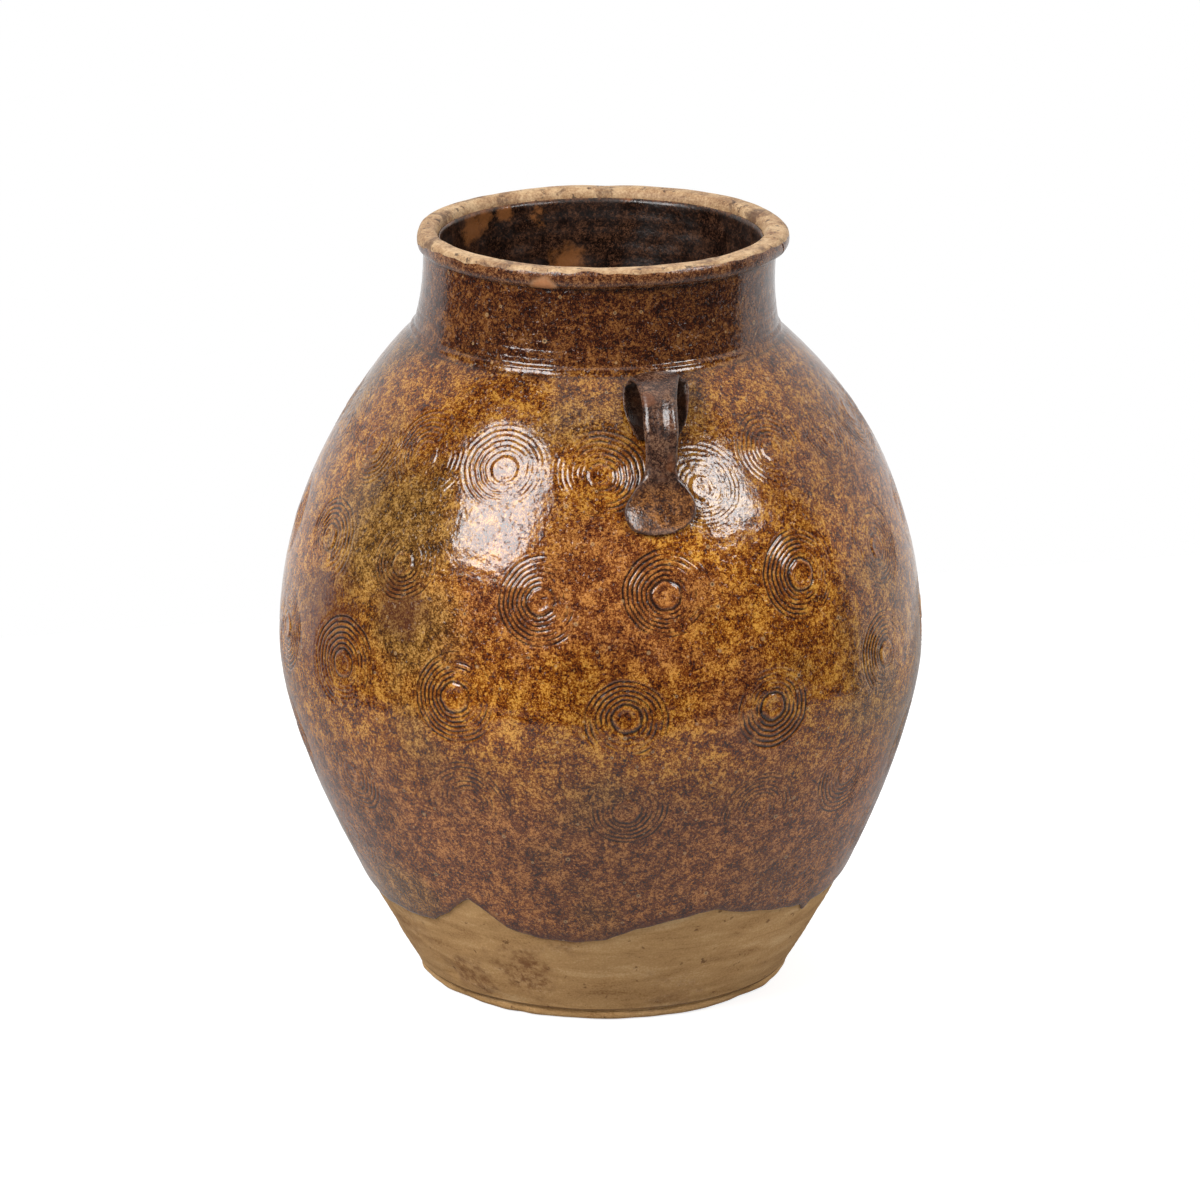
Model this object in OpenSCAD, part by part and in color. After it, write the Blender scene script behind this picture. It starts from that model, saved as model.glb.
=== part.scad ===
// Martaban storage jar: a stoneware body thrown in sections, a rolled rim, two strap lugs
// and a brown glaze that stops short of the foot. Millimetres, +Z up, the origin is the
// centre of the foot. The lugs stand on the -Y and +Y sides.

/* [Body] */
// Height of the jar, foot to rim
height = 404; // [380:1:490]
// Diameter at the widest point of the belly
belly_d = 340; // [300:1:410]
// Height of the widest point
belly_z = 184; // [160:1:205]
// Diameter where the wall leaves the base disc
foot_d = 200; // [170:1:240]
// Thickness of the wall from the belly up
wall = 8.5; // [6:0.5:11]
// Thickness of the wall where it stands on the base disc
foot_wall = 11; // [8:0.5:14]
// Thickness of the floor
floor_t = 11; // [9:0.5:15]

/* [Curve of the wall] */
// Angle of the wall to the vertical at the foot
foot_flare = 33; // [24:1:38]
// How far the wall keeps that angle
foot_reach = 47; // [30:1:60]
// How far the belly stays upright below its widest point
belly_reach_down = 51; // [30:1:65]
// How far the belly stays upright above its widest point
belly_reach_up = 30; // [20:1:45]
// Angle of the shoulder to the vertical where it meets the neck
shoulder_slope = 47; // [40:1:54]
// How far the shoulder keeps that angle
shoulder_reach = 90; // [60:1:100]

/* [Sections] */
// Height of the joint between the lower wall and the belly
low_joint_z = 105; // [80:1:130]
// Height of the joint between the belly and the shoulder
high_joint_z = 235; // [210:1:260]

/* [Foot] */
// Height of the base disc's edge
foot_h = 6; // [4:0.5:8]
// Width of the groove between the base disc and the wall
foot_groove = 0.8; // [0.4:0.1:1.2]
// Rounding of the base disc's lower edge
foot_round = 2.6; // [1.5:0.1:3]
// How far the base disc's edge stands back from the wall
foot_setback = 1.2; // [0.6:0.2:2]

/* [Neck and rim] */
// Diameter of the mouth inside the clay
mouth_d = 169.4; // [150:0.2:180]
// Height of the neck, shoulder to rim
neck_h = 42.6; // [34:0.2:52]
// Thickness of the neck's wall at its top
neck_wall = 6.6; // [5:0.2:8]
// How much wider the neck is at its root
neck_flare = 4.7; // [3:0.1:7]
// Thickness of the coil pressed round the neck's root
coil_d = 3.2; // [2.4:0.2:4]
// Thickness of the rolled rim
rim_roll = 12.6; // [11:0.2:15]
// How deep the rim's top is rubbed flat
rim_flat = 0.8; // [0.4:0.1:1.2]
// How far the neck's edge reaches up into the roll
rim_seat = 3.4; // [2:0.2:4]

/* [Glaze] */
// Thickness of the outer glaze
glaze_t = 1.0; // [0.8:0.1:1.6]
// Thickness of the inner glaze
lining_t = 0.8; // [0.6:0.1:1.2]
// Height of the cusps between two dips of glaze
glaze_cusp_z = 71; // [62:1:80]
// How far a dip of glaze runs down below its cusps
glaze_run = 18; // [8:1:22]

/* [Lugs] */
// Width of the strap where it folds
lug_w = 36; // [28:1:42]
// Width of the strap where it is pinched
lug_pinch_w = 16.5; // [12:0.5:20]
// Width of the thumb-pressed pad
lug_pad_w = 37; // [30:1:42]
// Thickness of the strap
lug_t = 5.4; // [4.5:0.1:7]
// How far the strap stands off the shoulder
lug_out = 16; // [13:0.5:19]
// Length of the lug down the shoulder, as a drop from the neck
lug_drop = 71.5; // [64:0.5:78]
// How deep the thumb sank into the pad, as a share of its thickness
lug_dish = 0.54; // [0.3:0.02:0.6]
// How far the lug leans sideways, tail to pad
lug_lean = 12; // [0:1:16]

/* [Hidden] */

$fn = 96;
clay = "#b79a6d";
glaze = "#6f421c";
lug_glaze = "#5a4234";
lining = "#2b1d14";

band_steps = 11;       // straight steps in each section of the wall
neck_steps = 9;        // straight steps up the neck
lug_rings = 46;        // sections along a lug
lug_sides = 20;        // points round a section of a lug
dip_columns = 72;      // columns round the lower edge of the outer glaze
throat_steps = 5;      // straight steps where the wall's inside turns into the neck
throat_rise = 8;       // height over which it does
floor_bevel = 5;       // width of the slope between the floor and the wall
coil_sink = [-0.5, 0.3]; // the coil's middle, measured from the corner that it fills

mouth_r = mouth_d / 2;
belly_r = belly_d / 2;
foot_r = foot_d / 2;
roll_r = rim_roll / 2;
roll_c = [mouth_r + roll_r, height + rim_flat - roll_r];
neck_z = roll_c[1] - roll_r - neck_h;
neck_top_r = mouth_r + neck_wall;
neck_root_r = neck_top_r + neck_flare;
neck_end_z = roll_c[1] - rim_seat;

// The wall's outer curve is two cubics that meet upright at the belly.
low_curve = [
  [foot_r, foot_h],
  [foot_r + foot_reach * sin(foot_flare), foot_h + foot_reach * cos(foot_flare)],
  [belly_r, belly_z - belly_reach_down],
  [belly_r, belly_z]];
high_curve = [
  [belly_r, belly_z],
  [belly_r, belly_z + belly_reach_up],
  [neck_root_r + shoulder_reach * sin(shoulder_slope), neck_z - shoulder_reach * cos(shoulder_slope)],
  [neck_root_r, neck_z]];

function cubic(p, t) =
  pow(1 - t, 3) * p[0] + 3 * pow(1 - t, 2) * t * p[1] + 3 * (1 - t) * t * t * p[2] + t * t * t * p[3];
function cubic_slope(p, t) =
  pow(1 - t, 2) * (p[1] - p[0]) + 2 * (1 - t) * t * (p[2] - p[1]) + t * t * (p[3] - p[2]);

// u runs from 0 at the foot through 1 at the belly to 2 at the neck.
function outer(u) = u <= 1 ? cubic(low_curve, u) : cubic(high_curve, u - 1);
function along(u) = let (d = u <= 1 ? cubic_slope(low_curve, u) : cubic_slope(high_curve, u - 1)) d / norm(d);
function out_of(u) = let (d = along(u)) [d[1], -d[0]];
function thickness(u) = wall + (foot_wall - wall) * pow(max(0, 1 - u), 2);
function inner(u) = outer(u) - thickness(u) * out_of(u);
function u_at(z, low = 0, high = 2, tries = 24) =
  let (mid = (low + high) / 2)
  tries == 0 ? mid : outer(mid)[1] < z ? u_at(z, mid, high, tries - 1) : u_at(z, low, mid, tries - 1);

section_ends = [0, u_at(low_joint_z), u_at(high_joint_z), 2];
function section_us(k) =
  [for (i = [0:band_steps]) section_ends[k] + (section_ends[k + 1] - section_ends[k]) * i / band_steps];
wall_us = concat(section_us(0), [for (k = [1:2], i = [1:band_steps]) section_us(k)[i]]);

floor_edge = [inner(0)[0] - floor_bevel, floor_t];

function reversed(list) = [for (i = [len(list) - 1:-1:0]) list[i]];

module wall_section(k) {
  us = section_us(k);
  rotate_extrude() polygon(concat([for (u = us) outer(u)], [for (u = reversed(us)) inner(u)]));
}

// Everything inside the wall's outer curve, for cutting what sits on it.
module wall_core_profile() {
  polygon(concat([[0, foot_h]], [for (u = wall_us) outer(u)], [[0, neck_z]]));
}
module wall_core() { rotate_extrude() wall_core_profile(); }

// The neck
function neck_outer(v) = [neck_top_r + neck_flare * pow(1 - v, 2.8), neck_z + v * (neck_end_z - neck_z)];
neck_outline = [for (i = [0:neck_steps]) neck_outer(i / neck_steps)];
neck_throat_z = neck_z + throat_rise;
function throat(v) =
  let (low = inner(2))
  [mouth_r + (low[0] - mouth_r) * pow(1 - v, 2), low[1] + v * (neck_throat_z - low[1])];
throat_outline = [for (i = [0:throat_steps]) throat(i / throat_steps)];

module neck_profile() {
  polygon(concat(neck_outline, [[mouth_r, neck_end_z]], reversed(throat_outline)));
}

module coil_circle(extra = 0) {
  translate([neck_root_r, neck_z] + coil_sink) circle(d = coil_d + 2 * extra);
}

module base_disc() {
  seat = inner(0) - outer(0);
  lip = outer(0) + seat * foot_groove / norm(seat);
  edge_r = foot_r - foot_setback;
  color(clay) rotate_extrude()
    polygon([
      [0, 0],
      [edge_r - foot_round, 0],
      [edge_r - foot_round * 0.3, foot_round * 0.3],
      [edge_r, foot_round],
      [edge_r, foot_h - foot_setback],
      lip,
      inner(0),
      floor_edge,
      [0, floor_t]]);
}

module lower_wall() { color(clay) wall_section(0); }
module belly_wall() { color(clay) wall_section(1); }
module shoulder_wall() { color(clay) wall_section(2); }

module neck_collar() {
  color(clay) rotate_extrude() neck_profile();
}

module neck_coil() {
  color(clay) rotate_extrude() difference() {
    coil_circle();
    neck_profile();
    wall_core_profile();
  }
}

module rim_profile() {
  difference() {
    union() {
      translate(roll_c) circle(r = roll_r);
      translate([mouth_r, neck_end_z]) square([roll_r, rim_seat]);
    }
    neck_profile();
    translate([0, height]) square([2 * belly_r, rim_roll]);
  }
}

module rolled_rim() { color(clay) rotate_extrude() rim_profile(); }

// A lug is one strap of clay: its tail is pressed to the shoulder under the neck, it folds
// forward there, stands off as a loop, and ends in a pad pressed down by the thumb.
// Each row: drop below the neck, stand-off, width, thickness, dish.
lug_rows = [
  [29, 1.2, lug_w * 0.66, lug_t * 0.7, 0],
  [22, 1.6, lug_w * 0.90, lug_t * 0.8, 0],
  [14, 1.9, lug_w, lug_t * 0.85, 0],
  [7.5, 3.2, lug_w * 0.92, lug_t, 0],
  [5.5, 7.6, lug_w * 0.76, lug_t, 0],
  [10, lug_out * 0.78, lug_w * 0.66, lug_t * 1.1, 0],
  [18, lug_out * 0.92, lug_w * 0.57, lug_t * 1.25, 0],
  [28, lug_out * 0.80, lug_pinch_w * 1.10, lug_t * 1.35, 0],
  [38, lug_out * 0.45, lug_pinch_w, lug_t * 1.4, 0],
  [lug_drop - 26, 3.4, lug_pinch_w * 1.08, lug_t * 1.3, 0],
  [lug_drop - 20.5, 2.4, lug_pad_w * 0.74, lug_t, lug_dish * 0.6],
  [lug_drop - 14, 1.7, lug_pad_w * 0.98, lug_t * 0.85, lug_dish],
  [lug_drop - 8, 1.6, lug_pad_w * 0.97, lug_t * 0.8, lug_dish],
  [lug_drop - 3.2, 1.6, lug_pad_w * 0.76, lug_t * 0.8, lug_dish * 0.8],
  [lug_drop - 0.8, 1.6, lug_pad_w * 0.46, lug_t * 0.75, lug_dish * 0.2],
  [lug_drop, 1.5, lug_pad_w * 0.2, lug_t * 0.6, 0]];

function row_at(i) = lug_rows[min(max(i, 0), len(lug_rows) - 1)];
function smooth_row(s) =
  let (x = s * (len(lug_rows) - 1), i = min(floor(x), len(lug_rows) - 2), t = x - i,
       a = row_at(i - 1), b = row_at(i), c = row_at(i + 1), d = row_at(i + 2))
  b + t * (c - a) / 2 + t * t * (2 * a - 5 * b + 4 * c - d) / 2 + t * t * t * (3 * b - a - 3 * c + d) / 2;
function on_shoulder(drop, off) = let (u = u_at(neck_z - drop)) outer(u) + off * out_of(u);
function lug_centre(s) = let (row = smooth_row(s)) on_shoulder(row[0], row[1]);
function lug_along(s) =
  let (step = 0.004, d = lug_centre(min(1, s + step)) - lug_centre(max(0, s - step))) d / norm(d);

// One section: across is X, and the strap's outer side is left of its way along.
function lug_point(s, a) =
  let (row = smooth_row(s), c = lug_centre(s), d = lug_along(s), up = [-d[1], d[0]],
       square = 0.9 - 0.7 * row[4],
       side = row[2] / 2 * sign(cos(a)) * pow(abs(cos(a)), square),
       rise = row[3] / 2 * sign(sin(a)) * pow(abs(sin(a)), square),
       sunk = sin(a) > 0 ? row[3] * row[4] * pow(sin(a), 2) : 0,
       lean = lug_lean * (0.5 - row[0] / lug_drop),
       p = c + (rise - sunk) * up)
  [side + lean, -p[0], p[1]];

module lug_strap() {
  points = [for (i = [0:lug_rings], k = [0:lug_sides - 1]) lug_point(i / lug_rings, 360 * k / lug_sides)];
  skin = [for (i = [0:lug_rings - 1], k = [0:lug_sides - 1])
    let (a = i * lug_sides + k, b = i * lug_sides + (k + 1) % lug_sides)
    each [[a, b + lug_sides, b], [a, a + lug_sides, b + lug_sides]]];
  first = [[for (k = [0:lug_sides - 1]) k]];
  last = [[for (k = [lug_sides - 1:-1:0]) lug_rings * lug_sides + k]];
  polyhedron(points, concat(skin, first, last));
}

module lug() {
  color(lug_glaze) difference() {
    lug_strap();
    wall_core();
  }
}

module front_lug() { lug(); }
module back_lug() { rotate(180) lug(); }

// The outer glaze was put on in overlapping dips, so its lower edge hangs in bows between cusps.
dip_cusps = [-44, 12, 71, 137, 200, 258];
function dip_next(k) = k + 1 < len(dip_cusps) ? dip_cusps[k + 1] : dip_cusps[0] + 360;
function dip_share(a, k) = (a - dip_cusps[k]) / (dip_next(k) - dip_cusps[k]);
function dip_z(angle) =
  let (a = angle < dip_cusps[0] ? angle + 360 : angle,
       k = max([for (i = [0:len(dip_cusps) - 1]) if (dip_cusps[i] <= a) i]),
       share = dip_share(a, k))
  glaze_cusp_z - glaze_run * pow(sin(180 * share), 0.75);

// Everything below the glaze's lower edge, as a ring with a wavy top.
module below_dips() {
  near = foot_r / 2;
  far = belly_r * 1.2;
  angles = [for (i = [0:dip_columns - 1]) dip_cusps[0] + 360 * i / dip_columns];
  function corner(a, r, z) = [r * sin(a), -r * cos(a), z];
  points = [for (a = angles) each [
    corner(a, near, 0), corner(a, far, 0), corner(a, far, dip_z(a)), corner(a, near, dip_z(a))]];
  faces = [for (i = [0:dip_columns - 1], k = [0:3])
    let (a = 4 * i + k, b = 4 * i + (k + 1) % 4, shift = i + 1 < dip_columns ? 4 : 4 - 4 * dip_columns)
    each [[a, b, b + shift], [a, b + shift, a + shift]]];
  polyhedron(points, faces);
}

// The skin of glaze on the wall and the neck; the rolled rim then cuts it off.
module glaze_skin() {
  rotate_extrude() polygon(concat(
    [for (u = wall_us) if (u > 0) outer(u)],
    [for (i = [1:neck_steps]) neck_outline[i]],
    [for (i = [neck_steps:-1:1]) neck_outline[i] + [glaze_t, 0]],
    [for (u = reversed(wall_us)) if (u > 0) outer(u) + glaze_t * out_of(u)]));
}

// The same glaze where it rides over the coil.
module glaze_bead() {
  difference() {
    rotate_extrude() coil_circle(glaze_t);
    rotate_extrude() neck_profile();
    wall_core();
  }
}

module outer_glaze() {
  color(glaze) difference() {
    union() {
      glaze_skin();
      glaze_bead();
    }
    rotate_extrude() coil_circle();
    rotate_extrude() translate(roll_c) circle(r = roll_r);
    below_dips();
    lug_strap();
    rotate(180) lug_strap();
  }
}

// The lining covers the inside from the floor up to the rim's inner edge.
lining_outline = concat(
  [[0, floor_t], floor_edge],
  [for (u = wall_us) inner(u)],
  [for (i = [1:throat_steps]) throat_outline[i]],
  [[mouth_r, roll_c[1]]]);
module inner_glaze() {
  color(lining) rotate_extrude() polygon(concat(
    lining_outline,
    [[mouth_r - lining_t, roll_c[1]]],
    [for (i = [throat_steps:-1:1]) throat_outline[i] - [lining_t, 0]],
    [for (u = reversed(wall_us)) inner(u) - lining_t * out_of(u)],
    [floor_edge + [0, lining_t], [0, floor_t + lining_t]]));
}

base_disc();
lower_wall();
belly_wall();
shoulder_wall();
neck_collar();
neck_coil();
rolled_rim();
front_lug();
back_lug();
outer_glaze();
inner_glaze();
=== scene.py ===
"""A martaban storage jar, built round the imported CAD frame.

Shapes are worked out in millimetres, as in part.scad, and turned to metres when a mesh is made.
An angle round the jar is in degrees, from the -Y side towards +X. Every piece goes through
settle(), the slight lean and unevenness of a hand-built pot, so nested pieces stay nested.
"""
import math

import bpy
import numpy as np
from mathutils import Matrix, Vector


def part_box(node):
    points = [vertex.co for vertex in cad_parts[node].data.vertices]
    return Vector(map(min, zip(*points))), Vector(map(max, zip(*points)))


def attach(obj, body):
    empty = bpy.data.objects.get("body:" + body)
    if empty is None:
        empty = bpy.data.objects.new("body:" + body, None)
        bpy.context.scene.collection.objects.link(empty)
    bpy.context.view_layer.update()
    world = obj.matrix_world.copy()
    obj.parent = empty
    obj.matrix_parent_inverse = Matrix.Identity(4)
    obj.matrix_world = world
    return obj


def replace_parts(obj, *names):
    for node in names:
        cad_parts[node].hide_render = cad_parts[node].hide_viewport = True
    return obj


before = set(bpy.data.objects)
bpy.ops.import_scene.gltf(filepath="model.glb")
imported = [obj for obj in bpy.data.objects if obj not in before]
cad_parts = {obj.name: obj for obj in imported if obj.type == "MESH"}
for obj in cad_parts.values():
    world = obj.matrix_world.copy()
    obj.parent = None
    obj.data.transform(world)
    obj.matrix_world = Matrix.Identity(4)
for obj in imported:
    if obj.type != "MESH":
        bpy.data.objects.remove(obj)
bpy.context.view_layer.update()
rng = np.random.default_rng(7)

MM = 0.001


def cad_top(node):
    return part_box(node)[1][2] / MM


def cad_radius(node):
    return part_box(node)[1][0] / MM


# The jar, with the names and values of part.scad

HEIGHT = cad_top("rolled_rim")
BELLY_R = cad_radius("belly_wall")
BELLY_Z = 184.0
FOOT_R = 100.0
WALL = 8.5
FOOT_WALL = 11.0
FLOOR_T = 11.0
FLOOR_BEVEL = 5.0

FOOT_FLARE = 33.0
FOOT_REACH = 47.0
BELLY_REACH_DOWN = 51.0
BELLY_REACH_UP = 30.0
SHOULDER_SLOPE = 47.0
SHOULDER_REACH = 90.0

LOW_JOINT_Z = 105.0
HIGH_JOINT_Z = 235.0

FOOT_H = 6.0
FOOT_GROOVE = 0.8
FOOT_ROUND = 2.6
FOOT_SETBACK = 1.2

MOUTH_R = 84.7
NECK_H = 42.6
NECK_WALL = 6.6
NECK_FLARE = 4.7
NECK_CURVE = 2.8
COIL_R = 1.6
COIL_SINK = 0.5
COIL_LIFT = 0.3
RIM_FLAT = 0.8
RIM_SEAT = 3.4
ROLL_R = 6.3
ROLL_R_MID = MOUTH_R + ROLL_R
ROLL_Z_MID = HEIGHT + RIM_FLAT - ROLL_R
NECK_Z = ROLL_Z_MID - ROLL_R - NECK_H
NECK_END_Z = ROLL_Z_MID - RIM_SEAT
NECK_ROOT_R = MOUTH_R + NECK_WALL + NECK_FLARE
THROAT_RISE = 8.0

GLAZE_T = 1.0
LINING_T = 0.8

LUG_W = 36
LUG_PINCH_W = 16.5
LUG_PAD_W = 37
LUG_T = 5.4
LUG_OUT = 16
LUG_DROP = 71.5
LUG_DISH = 0.54
LUG_LEAN = 12

# The camera, fitted to the photograph's outline, mouth and foot

CAMERA_AZIMUTH = -13.5
CAMERA_ELEVATION = 16.85
CAMERA_DISTANCE = 3.4
CAMERA_LENS = 192.66
CAMERA_AIM_Z = 0.2001
CAMERA_AIM_LEFT = 0.00026


# Outlines

def cubic(p, t):
    """Points at the shares t of a cubic curve with the four controls p."""
    t = np.asarray(t, float)[:, None]
    p = np.asarray(p, float)
    return ((1 - t) ** 3 * p[0] + 3 * (1 - t) ** 2 * t * p[1]
            + 3 * (1 - t) * t * t * p[2] + t ** 3 * p[3])


def wall_outline(steps=900):
    """(radius, height) up the outside of the wall, and how far up each point is: 0 at the foot,
    1 at the belly and 2 at the neck."""
    flare = math.radians(FOOT_FLARE)
    slope = math.radians(SHOULDER_SLOPE)
    low = [(FOOT_R, FOOT_H),
           (FOOT_R + FOOT_REACH * math.sin(flare), FOOT_H + FOOT_REACH * math.cos(flare)),
           (BELLY_R, BELLY_Z - BELLY_REACH_DOWN), (BELLY_R, BELLY_Z)]
    high = [(BELLY_R, BELLY_Z), (BELLY_R, BELLY_Z + BELLY_REACH_UP),
            (NECK_ROOT_R + SHOULDER_REACH * math.sin(slope), NECK_Z - SHOULDER_REACH * math.cos(slope)),
            (NECK_ROOT_R, NECK_Z)]
    t = np.linspace(0, 1, steps)
    return np.vstack([cubic(low, t), cubic(high, t)[1:]]), np.concatenate([t, 1 + t[1:]])


def neck_outline(steps=160):
    """(radius, height) up the outside of the neck."""
    v = np.linspace(0, 1, steps)
    return np.stack([MOUTH_R + NECK_WALL + NECK_FLARE * (1 - v) ** NECK_CURVE,
                     NECK_Z + v * (NECK_END_Z - NECK_Z)], 1)


def outward(points):
    """The normals on the right of the way along an outline."""
    way = np.gradient(points, axis=0)
    way /= np.linalg.norm(way, axis=1)[:, None]
    return np.stack([way[:, 1], -way[:, 0]], 1)


def lengths(points):
    """The length along an outline at each of its points."""
    return np.concatenate([[0], np.cumsum(np.linalg.norm(np.diff(points, axis=0), axis=1))])


def sample(values, where, at):
    """Two columns of values, known at the lengths where, read at the lengths at."""
    return np.stack([np.interp(at, where, values[:, k]) for k in (0, 1)], -1)


def along(points, at):
    """Points and normals at the lengths at along an outline."""
    where = lengths(points)
    return sample(points, where, at), sample(outward(points), where, at)


def even(line, step):
    """The line with points about a step apart."""
    where = lengths(line)
    count = max(2, int(round(where[-1] / step)) + 1)
    return sample(line, where, np.linspace(0, where[-1], count))


def smoothed(values, window):
    """values with each column averaged over a window of rows; the ends stay."""
    kernel = np.hanning(window + 2)[1:-1]
    kernel /= kernel.sum()
    pad = window // 2
    out = []
    for column in values.T:
        padded = np.concatenate([2 * column[0] - column[pad:0:-1], column,
                                 2 * column[-1] - column[-2:-pad - 2:-1]])
        out.append(np.convolve(padded, kernel, "valid"))
    return np.stack(out, 1)[:len(values)]


WALL_LINE, WALL_U = wall_outline()
WALL_LENGTHS = lengths(WALL_LINE)
WALL_NORMALS = outward(WALL_LINE)
THICKNESS = WALL + (FOOT_WALL - WALL) * np.maximum(0, 1 - WALL_U) ** 2
INNER_LINE = WALL_LINE - WALL_NORMALS * THICKNESS[:, None]


def wall_radius(z):
    return np.interp(z, WALL_LINE[:, 1], WALL_LINE[:, 0])


def coat_outline():
    """The wall and the neck as one line, evenly spaced, with the corner at the neck's root eased."""
    line = np.vstack([WALL_LINE, neck_outline()[1:]])
    where = lengths(line)
    return smoothed(sample(line, where, np.arange(0, where[-1], 0.4)), 9)


def throat_line():
    """The inside of the neck's clay, from the wall's inner edge up to where it stands upright."""
    v = np.linspace(0, 1, 12)
    low = INNER_LINE[-1]
    return np.stack([MOUTH_R + (low[0] - MOUTH_R) * (1 - v) ** 2,
                     low[1] + v * (NECK_Z + THROAT_RISE - low[1])], 1)


# The unevenness of the pot

# How far the pot leans to the camera's right, in millimetres, at each height
LEAN = ((0, 1.4), (40, 1.8), (73, 1.6), (105, 0.85), (150, 0), (250, 0), (288, 0.7), (319, -0.4),
        (346, -2.6), (362, -1.6), (385, -0.6), (404, 0.4))
LEAN_WAY = np.array([math.cos(math.radians(CAMERA_AZIMUTH)), math.sin(math.radians(CAMERA_AZIMUTH)), 0])


def lean_curve():
    """(height, lean) at each millimetre, with the turns of LEAN eased."""
    z = np.arange(0, 405.0)
    heights, leans = np.transpose(LEAN)
    return smoothed(np.stack([z, np.interp(z, heights, leans)], 1), 15)


LEAN_CURVE = lean_curve()


def settle(points):
    """Leans and dents points of the whole pot alike."""
    angle = np.arctan2(points[..., 0], -points[..., 1])
    z = points[..., 2]
    radius = np.hypot(points[..., 0], points[..., 1])
    dent = (0.5 * np.sin(2 * angle + 1 + z / 190) + 0.3 * np.sin(3 * angle - z / 75)
            + 0.2 * np.sin(5 * angle + z / 48) - 1) * 0.5
    share = np.clip(radius / 90, 0, 1) * np.clip(z / 30, 0, 1) * np.clip((HEIGHT - z) / 30, 0, 1)
    factor = 1 + dent * share / np.maximum(radius, 1)
    out = points.copy()
    out[..., 0] *= factor
    out[..., 1] *= factor
    shift = np.interp(z, LEAN_CURVE[:, 0], LEAN_CURVE[:, 1])
    return out + shift[..., None] * LEAN_WAY


def turned(radius, z, angle):
    """Points of the jar from radius, height and angle in degrees."""
    a = np.radians(angle)
    return np.stack(np.broadcast_arrays(radius * np.sin(a), -radius * np.cos(a), z), -1)


def turn_from(angle, centre):
    """The angle from centre, from -180 to 180 degrees."""
    return (angle - centre + 180) % 360 - 180


def bell(value, middle, width):
    return np.exp(-((value - middle) / width) ** 2)


def step_up(value, middle, width):
    """0 below the middle and 1 above it, smoothly."""
    return 1 / (1 + np.exp((middle - value) / width))


def ripple(angle, z, seed, size):
    """Smooth waves from about -1 to 1 round the jar and up it, of about that size in millimetres."""
    waves = np.random.default_rng(seed)
    count = 7
    total = 0
    for _ in range(count):
        turns = waves.integers(1, max(2, int(600 / size)))
        rise = waves.normal() * 2 * math.pi / size
        total = total + np.sin(np.radians(angle) * turns + z * rise + waves.uniform(0, 2 * math.pi))
    return total / count * 1.6


def round_ripple(angle, seed, size):
    """A ripple that is the same at every height."""
    return ripple(angle, 0 * angle, seed, size)


# Meshes

def mesh_piece(name, points, faces, material, values=None, uv=None):
    """A smooth mesh of points in millimetres. faces is a list of index arrays, one row a face."""
    mesh = bpy.data.meshes.new(name)
    mesh.vertices.add(len(points))
    mesh.vertices.foreach_set("co", (settle(points) * MM).astype(np.float32).ravel())
    corners = np.concatenate([f.ravel() for f in faces]).astype(np.int32)
    sizes = np.concatenate([np.full(len(f), f.shape[1]) for f in faces])
    starts = np.concatenate([[0], np.cumsum(sizes)[:-1]]).astype(np.int32)
    mesh.loops.add(len(corners))
    mesh.loops.foreach_set("vertex_index", corners)
    mesh.polygons.add(len(sizes))
    mesh.polygons.foreach_set("loop_start", starts)
    mesh.update(calc_edges=True)
    mesh.validate()
    mesh.shade_smooth()
    for key, value in (values or {}).items():
        layer = mesh.attributes.new(key, "FLOAT", "POINT")
        layer.data.foreach_set("value", value.astype(np.float32).ravel())
    if uv is not None:
        layer = mesh.uv_layers.new(name="OFBake")
        layer.uv.foreach_set("vector", uv.astype(np.float32).ravel())
    mesh.materials.append(material)
    piece = bpy.data.objects.new(name, mesh)
    bpy.context.scene.collection.objects.link(piece)
    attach(piece, "root")
    return piece


def ring_piece(name, points, material, values=None):
    """A piece that goes round the jar: points[row, column], closed both ways."""
    rows, columns = points.shape[:2]
    row, column = np.meshgrid(np.arange(rows), np.arange(columns), indexing="ij")
    corner_rows = np.stack([row, row, row + 1, row + 1], -1)
    corner_columns = np.stack([column, column + 1, column + 1, column], -1)
    quads = (corner_rows % rows) * columns + corner_columns % columns
    uv = np.stack([corner_columns / columns, corner_rows / rows], -1)
    return mesh_piece(name, points.reshape(-1, 3), [quads.reshape(-1, 4)], material, values, uv)


def capped_piece(name, points, material, values=None, flip=False):
    """A piece of rows closed round, with one face over the first row and one over the last."""
    rows, columns = points.shape[:2]
    row, column = np.meshgrid(np.arange(rows - 1), np.arange(columns), indexing="ij")
    following = (column + 1) % columns
    quads = np.stack([row * columns + column, row * columns + following,
                      (row + 1) * columns + following, (row + 1) * columns + column], -1).reshape(-1, 4)
    first = np.arange(columns)[::-1][None]
    last = ((rows - 1) * columns + np.arange(columns))[None]
    faces = [quads, first, last]
    if flip:
        faces = [quads[:, [0, 3, 2, 1]], first[:, ::-1], last[:, ::-1]]
    return mesh_piece(name, points.reshape(-1, 3), faces, material, values)


def spun(line, columns):
    """(radius, height, angle) grids of an outline taken round the jar."""
    angle = np.arange(columns) * 360 / columns
    return (np.repeat(line[:, :1], columns, 1), np.repeat(line[:, 1:], columns, 1),
            np.repeat(angle[None], len(line), 0))


# Materials

def socket(tree, made, key, value):
    if isinstance(value, bpy.types.NodeSocket):
        tree.links.new(value, made.inputs[key])
    elif value is not None:
        made.inputs[key].default_value = value


def add(tree, kind, sockets, **settings):
    made = tree.nodes.new("ShaderNode" + kind)
    for key, value in settings.items():
        setattr(made, key, value)
    for key, value in sockets.items():
        socket(tree, made, key, value)
    return made


def noise(tree, place, scale, detail=3.0, roughness=0.55, distortion=0.0):
    return add(tree, "TexNoise", {"Vector": place, "Scale": scale, "Detail": detail,
                                  "Roughness": roughness, "Distortion": distortion}).outputs["Fac"]


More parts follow.
